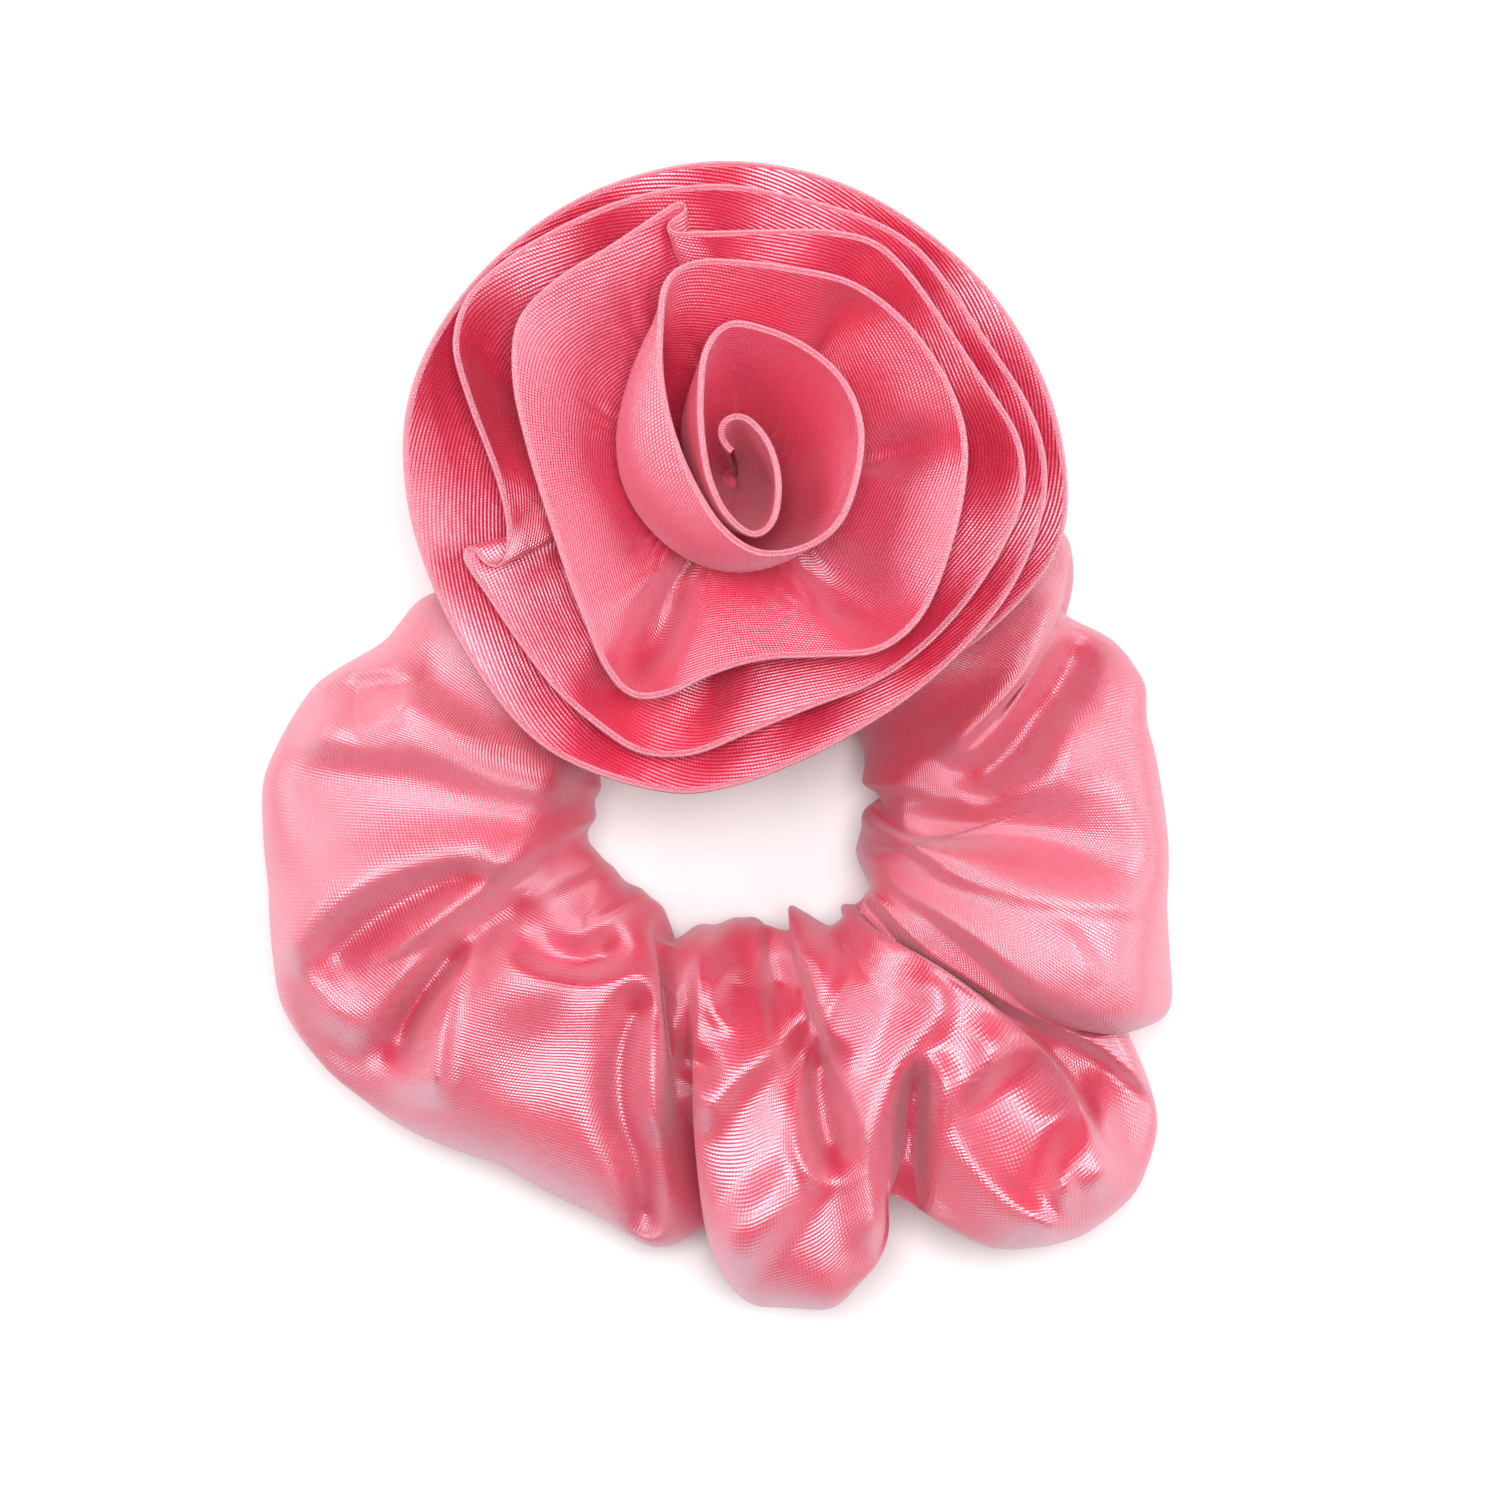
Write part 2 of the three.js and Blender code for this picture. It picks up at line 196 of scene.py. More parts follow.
def spline(points, steps=24):
    """Centripetal Catmull-Rom curve through points."""
    points = np.array(points, float)
    padded = np.vstack([2 * points[0] - points[1], points, 2 * points[-1] - points[-2]])
    out = []
    for i in range(1, len(padded) - 2):
        p0, p1, p2, p3 = padded[i - 1:i + 3]
        t1 = np.linalg.norm(p1[:3] - p0[:3]) ** 0.5
        t2 = t1 + np.linalg.norm(p2[:3] - p1[:3]) ** 0.5
        t3 = t2 + np.linalg.norm(p3[:3] - p2[:3]) ** 0.5
        for step in range(steps):
            t = t1 + (t2 - t1) * step / steps
            first = blend_knots(p0, p1, 0, t1, t)
            second = blend_knots(p1, p2, t1, t2, t)
            third = blend_knots(p2, p3, t2, t3, t)
            early = blend_knots(first, second, 0, t2, t)
            late = blend_knots(second, third, t1, t3, t)
            out.append(blend_knots(early, late, t1, t2, t))
    out.append(points[-1])
    return np.array(out)


def clockwise(degrees):
    """The direction square to an angle of the ring, going clockwise."""
    angle = math.radians(degrees)
    return np.array([math.sin(angle), -math.cos(angle), 0.0])


def grid_faces(rows, columns, wrap_rows=False, wrap_columns=False):
    faces = []
    for row in range(rows if wrap_rows else rows - 1):
        for column in range(columns if wrap_columns else columns - 1):
            next_row, next_column = (row + 1) % rows, (column + 1) % columns
            faces.append((row * columns + column, next_row * columns + column,
                          next_row * columns + next_column, row * columns + next_column))
    return faces


def refine(grid, axis, wrap):
    """One cubic B-spline subdivision of a grid of points along one axis."""
    grid = np.moveaxis(grid, axis, 0)
    if wrap:
        before, after = np.roll(grid, 1, axis=0), np.roll(grid, -1, axis=0)
        kept = (before + 6 * grid + after) / 8
        middle = (grid + after) / 2
        fine = np.stack([kept, middle], axis=1).reshape(-1, *grid.shape[1:])
    else:
        kept = grid.copy()
        kept[1:-1] = (grid[:-2] + 6 * grid[1:-1] + grid[2:]) / 8
        fine = np.empty((2 * len(grid) - 1, *grid.shape[1:]))
        fine[::2] = kept
        fine[1::2] = (grid[:-1] + grid[1:]) / 2
    return np.moveaxis(fine, 0, axis)


def grid_normals(grid, wrap_rows, wrap_columns):
    def slope(axis, wrap):
        if wrap:
            return np.roll(grid, -1, axis=axis) - np.roll(grid, 1, axis=axis)
        return np.gradient(grid, axis=axis)
    normals = np.cross(slope(0, wrap_rows), slope(1, wrap_columns))
    return normals / (np.linalg.norm(normals, axis=2, keepdims=True) + 1e-12)


def add_object(name, points, faces):
    mesh = bpy.data.meshes.new(name)
    mesh.from_pydata([tuple(point) for point in np.asarray(points).reshape(-1, 3)], [], faces)
    obj = bpy.data.objects.new(name, mesh)
    bpy.context.scene.collection.objects.link(obj)
    return obj


def square(half):
    return [(-half, -half, 0), (half, -half, 0), (half, half, 0), (-half, half, 0)]


def sheet_mesh(name, grid, normals, spacing, first=0):
    """A smooth mesh over an open grid of points, with its own normals and a UV map in metres of cloth."""
    rows, columns = grid.shape[:2]
    obj = add_object(name, grid, grid_faces(rows, columns))
    mesh = obj.data
    mesh.polygons.foreach_set("use_smooth", [True] * len(mesh.polygons))
    corner = np.empty(len(mesh.loops), np.int32)
    mesh.loops.foreach_get("vertex_index", corner)
    uv = np.stack([(corner // columns + first) * spacing[0], (corner % columns) * spacing[1]], axis=1)
    mesh.uv_layers.new(name="cloth").data.foreach_set("uv", uv.ravel().astype(np.float32))
    mesh.normals_split_custom_set_from_vertices(normals.reshape(-1, 3).tolist())
    return obj


# ---------------- cloth simulation

PLATE_HALF = 4.0
SIM = 20.0            # the simulation runs twenty times life size, where Blender's cloth is steady


def set_cloth(obj, pins, bending, self_gap, pressure, last_frame):
    """Makes obj a satin cloth that is held at its pins, a list of (point, weight)."""
    group = obj.vertex_groups.new(name="pins")
    for index, weight in pins:
        group.add([int(index)], weight, "REPLACE")
    cloth = obj.modifiers.new("cloth", "CLOTH")
    settings = cloth.settings
    settings.quality = 5
    settings.mass = 0.15
    settings.tension_stiffness = 15
    settings.compression_stiffness = 15
    settings.shear_stiffness = 4
    settings.bending_model = "ANGULAR"
    settings.bending_stiffness = bending
    settings.tension_damping = 8
    settings.compression_damping = 8
    settings.shear_damping = 8
    settings.bending_damping = 1
    settings.air_damping = 3
    settings.vertex_group_mass = "pins"
    settings.pin_stiffness = 1
    settings.use_pressure = pressure > 0
    settings.uniform_pressure_force = pressure
    settings.effector_weights.gravity = 0
    collisions = cloth.collision_settings
    collisions.use_collision = True
    collisions.distance_min = 0.01
    collisions.use_self_collision = True
    collisions.self_distance_min = self_gap
    collisions.collision_quality = 3
    collisions.self_friction = 2
    cloth.point_cache.frame_start = 1
    cloth.point_cache.frame_end = last_frame
    return cloth


def settle(obj, last_frame):
    """Steps the simulation and returns where the points of obj end up."""
    scene = bpy.context.scene
    scene.frame_start, scene.frame_end = 1, last_frame
    for step in range(1, last_frame + 1):
        scene.frame_set(step)
    evaluated = obj.evaluated_get(bpy.context.evaluated_depsgraph_get())
    mesh = evaluated.to_mesh()
    points = np.empty(len(mesh.vertices) * 3)
    mesh.vertices.foreach_get("co", points)
    evaluated.to_mesh_clear()
    scene.frame_set(1)
    return points.reshape(-1, 3)


def drop(*objects):
    for obj in objects:
        mesh = obj.data
        bpy.data.objects.remove(obj)
        bpy.data.meshes.remove(mesh)


def moving_plate(name, travel, last_frame, faces_down):
    """A wide plate that presses on the cloth while it travels from one height to the other."""
    start, end = travel
    plate = add_object(name, square(PLATE_HALF), [(3, 2, 1, 0) if faces_down else (0, 1, 2, 3)])
    plate.modifiers.new("collision", "COLLISION")
    plate.collision.thickness_outer = 0.01
    plate.collision.cloth_friction = 1
    plate.location = (0, 0, start * SIM)
    plate.keyframe_insert("location", frame=1)
    plate.location = (0, 0, end * SIM)
    plate.keyframe_insert("location", frame=last_frame)
    return plate


# ---------------- the sleeve

BAND_STATIONS = 240       # points along the tube
BAND_AROUND = 44          # points round the tube
TUBE_RING = 79 * MM       # the ungathered tube, bent to a ring of this radius
TUBE_RADIUS = 19 * MM
HOLE = 20.5 * MM          # where the gathered tube's inner side lies
PLEATS = 24               # the elastic holds the cloth at this many places
TUBE_WIDENING = 0.35      # how much wider the tube is cut where the band reaches furthest out
MEAN_REACH = 65           # mm
REACH_SPREAD = 45         # mm
SEED_HEIGHT = 2 * MM      # the loose tube's small unevenness, from which its folds grow
SEEDS_ALONG = 6.0
SEEDS_ROUND = 1.3
HOLE_UNEVENNESS = 2.5 * MM
HOLE_LIFT = 3 * MM        # how far the gathered side is lifted or lowered along the ring
HOLE_SEEDS = 9.0
TUBE_FULLNESS = 1.12      # width of the tube away from the creases
SLEEVE_BENDING = 10.0
SLEEVE_PRESSURE = 0.25
SLEEVE_GAP = 0.02         # between two layers of the simulated sleeve, at the simulation's size
TABLE_TRAVEL = (-26 * MM, -13.5 * MM)     # the table's height before and after the gathering
PRESS_TRAVEL = (26 * MM, 16.5 * MM)       # and the height of the press above
CALM_PASSES = 14          # they take out wrinkles too fine for satin of this weight
UPWARD_GAIN = 1.5         # how soon a sloping side counts as facing up
UPWARD_PASSES = 20        # they blur the edge of the side that the folds are pressed into
DEEPEST_FOLD = 0.45       # share of the height above FOLD_FLOOR that a hollow leaves
FOLD_FLOOR = 4 * MM       # no hollow goes below this
FOLD_STRENGTH = 1.45      # all the folds' heights are multiplied by this
FOLD_WIDTH = 1.2          # and their widths by this
FOLD_TAPER = 6.0          # mm, over which a fold rises from its ends
FOLD_STEPS = 6            # straight steps between two points of a fold's line
TUCK_LENGTH = 17 * MM
TUCK_ROWS = 13
TUCK_SHRINK = 0.10        # how much narrower it is than the sleeve round it
TUCK_TAPER = 0.25         # share of its length over which it narrows
GATHER_FRAMES = 40
REST_FRAMES = 15
CREASE_WIDTH = 13.0       # degrees from a crease to the full width
OUTLINE_STEP = 3          # degrees between the places where the outline is read
EDGE_WINDOW = 2           # places on either side over which the sleeve's edges are smoothed
TOP_WINDOW = 6            # the same for its top
FLOOR_WINDOW = 4          # and for its underside
FLOOR_GAP = 0.2 * MM
INNER_EDGE = 24 * MM      # the sleeve's inner side stays inside this radius, in front of the elastic
INNER_COLUMNS = 5         # points on either side of the tube's innermost one that count as inner side
REFINEMENTS = 2           # times that the simulated mesh is refined


def crease_waist(degrees, turn):
    """How much a crease narrows the tube; turn is 0 at the tube's outer side and pi at its inner."""
    inwards = 0.5 - 0.5 * math.cos(turn)
    waist = 0.0
    for inner, outer, depth in CREASES:
        crease = outer + ((inner - outer + 180) % 360 - 180) * inwards
        away = abs((degrees - crease + 180) % 360 - 180)
        waist = max(waist, depth * (1 - math.sin(min(away / CREASE_WIDTH, 1) * math.pi / 2)))
    return waist


def loose_tube():
    """The ungathered sleeve, with a slight waist at each crease so that it folds there."""
    points = np.empty((BAND_STATIONS, BAND_AROUND, 3))
    for i in range(BAND_STATIONS):
        angle = 2 * math.pi * i / BAND_STATIONS
        degrees = math.degrees(angle)
        for j in range(BAND_AROUND):
            turn = 2 * math.pi * j / BAND_AROUND
            fat = 1 + TUBE_WIDENING * (around(REACH, degrees) - MEAN_REACH) / REACH_SPREAD
            radius = TUBE_RADIUS * fat * (TUBE_FULLNESS - crease_waist(degrees, turn))
            place = Vector((math.cos(angle) * SEEDS_ALONG, math.sin(angle) * SEEDS_ALONG, turn * SEEDS_ROUND))
            out = TUBE_RING + radius * math.cos(turn) + SEED_HEIGHT * noise.noise(place)
            up = radius * math.sin(turn) + SEED_HEIGHT * noise.noise(place + Vector((9, 0, 0)))
            points[i, j] = (out * math.cos(angle), out * math.sin(angle), up)
    return points


def gathered_tube():
    """Where the tube's points go when its inner side is drawn in to the hole."""
    points = np.empty((BAND_STATIONS, BAND_AROUND, 3))
    for i in range(BAND_STATIONS):
        angle = 2 * math.pi * i / BAND_STATIONS
        place = Vector((math.cos(angle) * HOLE_SEEDS, math.sin(angle) * HOLE_SEEDS, 3.3))
        inner = HOLE + HOLE_UNEVENNESS * (0.5 + noise.noise(place))
        lift = HOLE_LIFT * noise.noise(place + Vector((0, 0, 4)))
        for j in range(BAND_AROUND):
            turn = 2 * math.pi * j / BAND_AROUND
            out = inner + TUBE_RADIUS * (1 + math.cos(turn))
            up = TUBE_RADIUS * math.sin(turn) + lift
            points[i, j] = (out * math.cos(angle), out * math.sin(angle), up)
    return points


def simulate_sleeve():
    """Gathers the tube onto the elastic, between the table and a light press."""
    loose = loose_tube()
    obj = add_object("sleeve_cloth", loose * SIM, grid_faces(BAND_STATIONS, BAND_AROUND, True, True))
    obj.shape_key_add(name="Basis")
    key = obj.shape_key_add(name="gathered")
    key.data.foreach_set("co", (gathered_tube() * SIM).ravel())
    key.value = 0
    key.keyframe_insert("value", frame=1)
    key.value = 1
    key.keyframe_insert("value", frame=GATHER_FRAMES)
    inner = BAND_AROUND // 2
    pleats = [round(BAND_STATIONS * pleat / PLEATS) % BAND_STATIONS for pleat in range(PLEATS)]
    pins = [(station * BAND_AROUND + inner, 1.0) for station in pleats]
    last = GATHER_FRAMES + REST_FRAMES
    set_cloth(obj, pins, SLEEVE_BENDING, SLEEVE_GAP, SLEEVE_PRESSURE, last)
    table = moving_plate("table", TABLE_TRAVEL, GATHER_FRAMES, False)
    press = moving_plate("press", PRESS_TRAVEL, GATHER_FRAMES, True)
    points = settle(obj, last) / SIM
    drop(obj, table, press)
    return points.reshape(BAND_STATIONS, BAND_AROUND, 3)


def even_out(values, passes):
    """Averages each value on the sleeve's grid with its neighbours."""
    for _ in range(passes):
        beside = np.roll(values, 1, axis=0) + np.roll(values, -1, axis=0)
        round_it = np.roll(values, 1, axis=1) + np.roll(values, -1, axis=1)
        values = values / 2 + (beside + round_it) / 8
    return values


def fit_outline(points):
    """Brings the gathered sleeve to the band's outline and height, and lays it on the table."""
    x, y, z = points[..., 0], points[..., 1], points[..., 2]
    radius, degrees = np.hypot(x, y), np.degrees(np.arctan2(y, x))
    bins = 360 // OUTLINE_STEP
    which = (np.mod(degrees, 360) // OUTLINE_STEP).astype(int) % bins
    outline = np.array([radius[which == k].max() for k in range(bins)])
    inline = np.array([radius[which == k].min() for k in range(bins)])
    top = np.array([z[which == k].max() for k in range(bins)])
    floor = np.array([z[which == k].min() for k in range(bins)])
    middle = (np.arange(bins) + 0.5) * OUTLINE_STEP

    def at(values, width):
        table = list(zip(middle, smooth_ring(values, width)))
        return around(table, degrees)

    inner, outer = at(inline, EDGE_WINDOW), at(outline, EDGE_WINDOW)
    part = (radius - inner) / (outer - inner)
    new_inner, new_outer = around(HOLE_REACH, degrees) * MM, around(REACH, degrees) * MM
    new_radius = new_inner + (new_outer - new_inner) * part
    low = smooth_ring(floor, FLOOR_WINDOW).mean()
    rise = around(HEIGHT, degrees) * MM / (at(top, TOP_WINDOW) - low)
    new_z = (z - low) * rise
    scale = new_radius / radius
    return np.stack([x * scale, y * scale, np.maximum(new_z, FLOOR_GAP)], axis=2)


def clear_elastic(points):
    """Keeps the sleeve's inner side in front of the elastic."""
    inner = BAND_AROUND // 2
    elastic_low, elastic_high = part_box("elastic_arc_01")
    columns = slice(inner - INNER_COLUMNS, inner + INNER_COLUMNS + 1)
    part = points[:, columns]
    radius = np.hypot(part[..., 0], part[..., 1])
    level = (part[..., 2] > elastic_low.z - MM) & (part[..., 2] < elastic_high.z + MM)
    scale = np.where(level & (radius > INNER_EDGE), INNER_EDGE / radius, 1.0)
    points[:, columns, :2] *= scale[..., None]
    return points


def fold_lift(flat, line, height, left, right):
    """How much one fold lifts each point of flat, in mm."""
    curve = spline(line, FOLD_STEPS)
    steps = np.diff(curve, axis=0)
    lengths = np.linalg.norm(steps, axis=1)
    starts = np.concatenate([[0], np.cumsum(lengths)])
    nearest = np.full(flat.shape[:2], np.inf)
    along = np.zeros(flat.shape[:2])
    side = np.zeros(flat.shape[:2])
    for point, step, length, start in zip(curve, steps, lengths, starts):
        away = flat - point
        part = np.clip((away @ step) / length ** 2, 0, 1)
        gap = np.linalg.norm(away - part[..., None] * step, axis=2)
        closer = gap < nearest
        nearest = np.where(closer, gap, nearest)
        along = np.where(closer, start + part * length, along)
        side = np.where(closer, step[0] * away[..., 1] - step[1] * away[..., 0], side)
    width = np.where(side > 0, left, right) * FOLD_WIDTH
    fade = np.clip(np.minimum(along, starts[-1] - along) / FOLD_TAPER, 0, 1)
    return height * np.sin(fade * math.pi / 2) ** 2 * np.exp(-(nearest / width) ** 2)


def press_folds(points):
    """Raises the ridges and lowers the hollows of the sleeve's upper side."""
    upward = np.clip(grid_normals(points, True, True)[..., 2] * UPWARD_GAIN, 0, 1)
    upward = even_out(upward, UPWARD_PASSES)
    flat = (points - RING)[..., :2] / MM
    lift = sum(fold_lift(flat, *fold) for fold in FOLDS) * MM * FOLD_STRENGTH
    height = points[..., 2]
    lowest = np.minimum(height, FOLD_FLOOR) + DEEPEST_FOLD * np.maximum(height - FOLD_FLOOR, 0)
    lifted = points.copy()
    lifted[..., 2] = np.maximum(height + lift * upward, lowest)
    return lifted


def build_sleeve():
    """The sleeve in pieces, each from the middle of one gather over a crease to the middle of the next."""
    points = simulate_sleeve()
    points = clear_elastic(fit_outline(even_out(points, CALM_PASSES))) + RING
    for _ in range(REFINEMENTS):
        points = refine(refine(points, 0, True), 1, True)
    points = press_folds(points)
    normals = grid_normals(points, True, True)
    fine = 2 ** REFINEMENTS
    stations = BAND_STATIONS * fine
    spacing = (2 * math.pi * TUBE_RING / stations, 2 * math.pi * TUBE_RADIUS / (BAND_AROUND * fine))
    points = np.concatenate([points, points[:, :1]], axis=1)
    normals = np.concatenate([normals, normals[:, :1]], axis=1)

    def station(degrees):
        return round(stations * degrees / 360)

    def past(row, crease):
        """How far each point of a row lies past a crease, clockwise."""
        return (points[row % stations] - RING) @ clockwise(crease)

    def best_cut(before, after):
        """The row in a gather's middle three fifths that keeps furthest from the creases on both sides."""
        margin = (before - after) / 5
        rows = range(station(after + margin), station(before - margin))
        return max(rows, key=lambda row: min(past(row, before).min(), -past(row, after).max()))

    cuts = [best_cut(BODY_CREASES[i], BODY_CREASES[i + 1]) for i in range(GATHERS)]

    def stretch(name, start, end):
        """The piece of sleeve from row start clockwise to row end."""
        rows = np.arange(end, start + 1)
        part, part_normals = points[rows % stations], normals[rows % stations]
        piece = sheet_mesh(name, part, part_normals, spacing, rows[0])
        piece.data.materials.append(satin)
        return piece

    for i in range(GATHERS - 1):
        piece = stretch(f"sleeve_{i + 1:02d}_{i + 2:02d}", cuts[i], cuts[i + 1])
        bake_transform(piece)
        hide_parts(f"sleeve_gather_{i + 1:02d}")
    piece = stretch("sleeve_10_end", cuts[-1], station(BODY_CREASES[-1]))
    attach(piece, "gather_10")
    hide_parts("sleeve_gather_10")
    piece = stretch("sleeve_01_end", station(BODY_CREASES[0]), cuts[0])
    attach(piece, "gather_01")
    build_tuck(points[station(BODY_CREASES[0])], normals[station(BODY_CREASES[0])], spacing)


def build_tuck(section, section_normals, spacing):
    """The sleeve goes on inside the first gather, so that the crease under the rose can open."""
    inwards = clockwise(BODY_CREASES[0]) * TUCK_LENGTH
    centre = section[:-1].mean(axis=0)
    rows = []
    for step in np.linspace(0, 1, TUCK_ROWS):
        shrink = 1 - TUCK_SHRINK * min(step / TUCK_TAPER, 1)
        rows.append(centre + (section - centre) * shrink + inwards * step)
    grid = np.stack(rows[::-1])
    tuck = sheet_mesh("sleeve_tuck", grid, np.stack([section_normals] * TUCK_ROWS), spacing)
    tuck.data.materials.append(satin)
    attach(tuck, "gather_10")


# ---------------- the rose

# The fold of the rolled strip, from the heart outwards: x and y in mm from the rose's centre, height in
# mm above the table, and how far the wall below bulges outwards.
HEART = [(-0.3, 3.3, 51.9, 0), (-1.9, 5, 52.6, 0), (-1.7, 7.3, 53.3, 0), (0.8, 8.3, 53.6, 0),
         (4, 5.6, 54, 0), (5.9, 1, 54, 1), (6.1, -3.5, 54, 1), (5.2, -7, 53.9, 1), (3, -8.6, 53.7, 1)]
BUD = [(-0.6, -6.3, 53.6, 2), (-3.3, -1.5, 53.9, 2), (-4.6, 5, 54, 2), (-4.8, 11.5, 54, 2),
       (-3.9, 17.8, 53.9, 1), (-1, 21.1, 53.6, 0), (4.5, 20.3, 53.3, 0), (10.4, 17.6, 53, 0),
       (15.2, 13.2, 52.6, 0), (17.7, 7, 52.6, 0), (17, -0.8, 52.6, 0), (14.2, -7.3, 52.7, 1),
       (8.9, -10.6, 53.2, 2), (3.2, -11, 53.3, 3)]
INNER_PETAL = [(-1.5, -8, 53.3, 4), (-5.8, -1.6, 53.2, 5), (-8.9, 5.8, 53.2, 5.5), (-10.5, 13.5, 53, 5),
               (-10.5, 21, 52.6, 4), (-9.3, 27.6, 51.9, 1), (-5.5, 29.8, 51.4, 0), (1.5, 29.8, 50.9, 0),
               (9, 28.9, 50.5, 0), (16.5, 26.9, 50.1, 0), (23.5, 21.9, 49.5, 0), (29.2, 14.4, 49.1, 0),
               (32.2, 5.5, 48.7, 0), (31.8, -3.5, 48.4, 0), (29.2, -13, 48.1, 0), (25.5, -20.3, 47.8, 0),
               (20, -24.4, 47.6, 0), (12.5, -25.1, 47.3, 0), (4.5, -25.5, 47, 0), (-3.5, -27.8, 46.6, 0),
               (-9.5, -30.5, 46.4, 0), (-14.2, -30.7, 46.2, 0)]
MIDDLE_PETAL = [(-18, -26.8, 46.4, 0), (-21.7, -18.5, 46.8, 0), (-25.2, -8, 47.1, 0), (-28.9, 4, 47.3, 0),
                (-31, 14, 47.1, 0), (-30.3, 21.8, 46.8, 0), (-25.5, 27.2, 46.6, 0), (-17.6, 32.2, 46.6, 0),
                (-11.1, 36.6, 46.6, 0), (-7.2, 38.8, 46.6, 0), (-6.9, 37.2, 46.4, 0), (-9.6, 35.6, 46.6, 0),
                (-9.2, 34.4, 46.6, 0), (-4.7, 34.2, 46.6, 0), (5, 34.5, 46.3, 0), (14, 34.5, 46, 0),
                (19.5, 33.2, 45.6, 0), (24, 29.2, 45.2, 0), (29, 22.4, 44.8, 0), (35, 13.6, 44.4, 0),
                (40, 5.2, 44, 0), (40.6, -2.2, 43.8, 0), (37.6, -10, 43.6, 0), (32, -18.2, 43.4, 0),
                (25.3, -25, 43, 0), (18.5, -29.4, 42.7, 0), (10, -32.6, 42.4, 0), (1.5, -36, 42, 0),
                (-6.5, -39, 41.8, 0), (-13.5, -38.7, 41.8, 0), (-19.5, -35, 42, 0), (-25, -30.2, 42, 0),
                (-30.5, -23, 42.2, 0), (-34.5, -17, 42.4, 0), (-38.4, -10.6, 42.6, 0),
                (-37.3, -9.5, 42.4, 0), (-34.8, -12.4, 42.8, 0), (-32.9, -12.4, 42.8, 0),
                (-31.9, -8, 42.6, 0)]
OUTER_PETAL = [(-32.8, -2.2, 42.4, 0), (-35, 4.5, 42.2, 0), (-37.8, 12, 42, 0), (-39.6, 19, 41.8, 0),
               (-38, 25, 41.8, 0), (-32.5, 30.6, 42, 0), (-24, 35.6, 42.2, 0), (-13, 39.8, 42.4, 0),
               (-2.1, 41.3, 42.4, 0), (8.5, 39.6, 42, 0), (19.5, 36.2, 41.8, 0), (26.2, 32, 41.6, 0),
               (31, 26, 41.4, 0), (36.2, 18.3, 41.2, 0), (41.2, 10.6, 41, 0), (43.6, 4, 41, 0),
               (43.9, -2, 41, 0), (42, -9.4, 41, 0), (38, -17, 40.8, 0), (32.3, -24, 40.6, 0),
               (25, -30.5, 40.4, 0), (16.5, -36, 40.2, 0), (8, -40.3, 40, 0), (0, -43.3, 39.8, 0)]
LAST_PETAL = [(-8.6, -44.4, 39.6, 0), (-26.6, -38.1, 39.6, 0), (-39.4, -22, 39.6, 0), (-46.2, -3, 39.6, 0),
              (-45.4, 13.5, 39.2, 0), (-36.5, 28.4, 39, 0), (-20, 40.5, 39, 0), (-1, 44.8, 39, 0),
              (18, 40.4, 38.8, 0), (36, 26.6, 38.4, 0), (45.6, 8, 38, 0), (46, -9, 37.5, 0),
              (34, -23, 36.2, 0), (22, -29, 34.2, 0)]
PETALS = {"heart": HEART, "bud": BUD, "inner": INNER_PETAL, "middle": MIDDLE_PETAL, "outer": OUTER_PETAL,
          "last": LAST_PETAL}
# Hollows (positive) and ridges (negative) that run down a petal from its rim: the angle round the rose in
# degrees, half the width in degrees, the depth in mm, and the depth left at the rim.
PETAL_FOLDS = {
    "inner": [(59, 9, 4.8, 0.3), (78, 7, -3.8, 0.2), (33, 8, -3.8, 0.3), (13, 8, 4.5, 0.4),
              (-14, 7, -3.9, 0.3), (-41, 11, 6, 0.4), (-88, 10, -3.8, 0.3), (-114, 8, 10, 0.8),
              (-133, 8, -3.8, 0.3)],
    "middle": [(150, 12, 3.8, 0.2), (112, 6, -3, 0.2), (100, 6, 4.5, 0.4), (66, 6, -3, 0.3),
               (52, 7, 4.5, 0.4), (30, 7, -3, 0.3), (8, 9, 4.5, 0.3), (-35, 10, 3.8, 0.3),
               (-60, 8, -3, 0.3), (-95, 9, 4.5, 0.3), (-125, 8, -3, 0.3), (-200, 9, 4.5, 0.3)],
    "outer": [(170, 8, 3.1, 0.3), (140, 9, -2.1, 0.3), (120, 7, 3.1, 0.4), (85, 9, -2.1, 0.3),
              (60, 8, 3.1, 0.4), (25, 8, 2.7, 0.3), (-20, 8, 2.7, 0.3), (-70, 10, 2.7, 0.3)],
    "last": [(-125, 10, 1.5, 0.2), (-160, 9, -1.1, 0.2), (175, 8, 1.9, 0.3), (150, 8, -1.1, 0.2),
             (125, 9, 1.9, 0.3), (70, 9, 1.5, 0.2), (20, 9, 1.9, 0.3), (-30, 9, 1.5, 0.2)],
}
PETAL_NESTING = 0.72      # how much of a hollow the next turn outwards follows
PETAL_OVERLAP = 20        # stations past its own end on which a petal's fold may still lie
FOLD_SEARCH = 4           # degrees within which a station counts as lying on a fold
RIM_SCALE = 0.967         # the lists give the outer edge of the fold, and the strip's middle lies inside it
STRIP_STEP = 1.7          # mm between the strip's stations
STRIP_ROWS = 15
STRIP_BASE = 30.0         # height of the gathered edge
STRIP_CORE = 0.3          # radius where the gathered edge starts
STRIP_SPREAD = 16.0       # how far its turns reach beyond that
LAYER = 0.45 * MM         # half the folded strip's thickness
RIM_BEAD = 1.15           # the fold is a little thicker than the two layers
BEAD_STEPS = 7
BEAD_HEIGHT = 1.2
FLARE_RUN = 25.0          # mm of overhang at which a wall counts as fully flared
BEND_RISE = 0.55          # a wall bends at this share of its height
BEND_RUN = 0.5            # and of its overhang
BEND_FLARE = 0.10         # a flared wall bends this much higher and further in
BULGE_OUT = 3.2           # mm that one unit of bulge pushes the bend outwards
BULGE_UP = 0.35           # and upwards
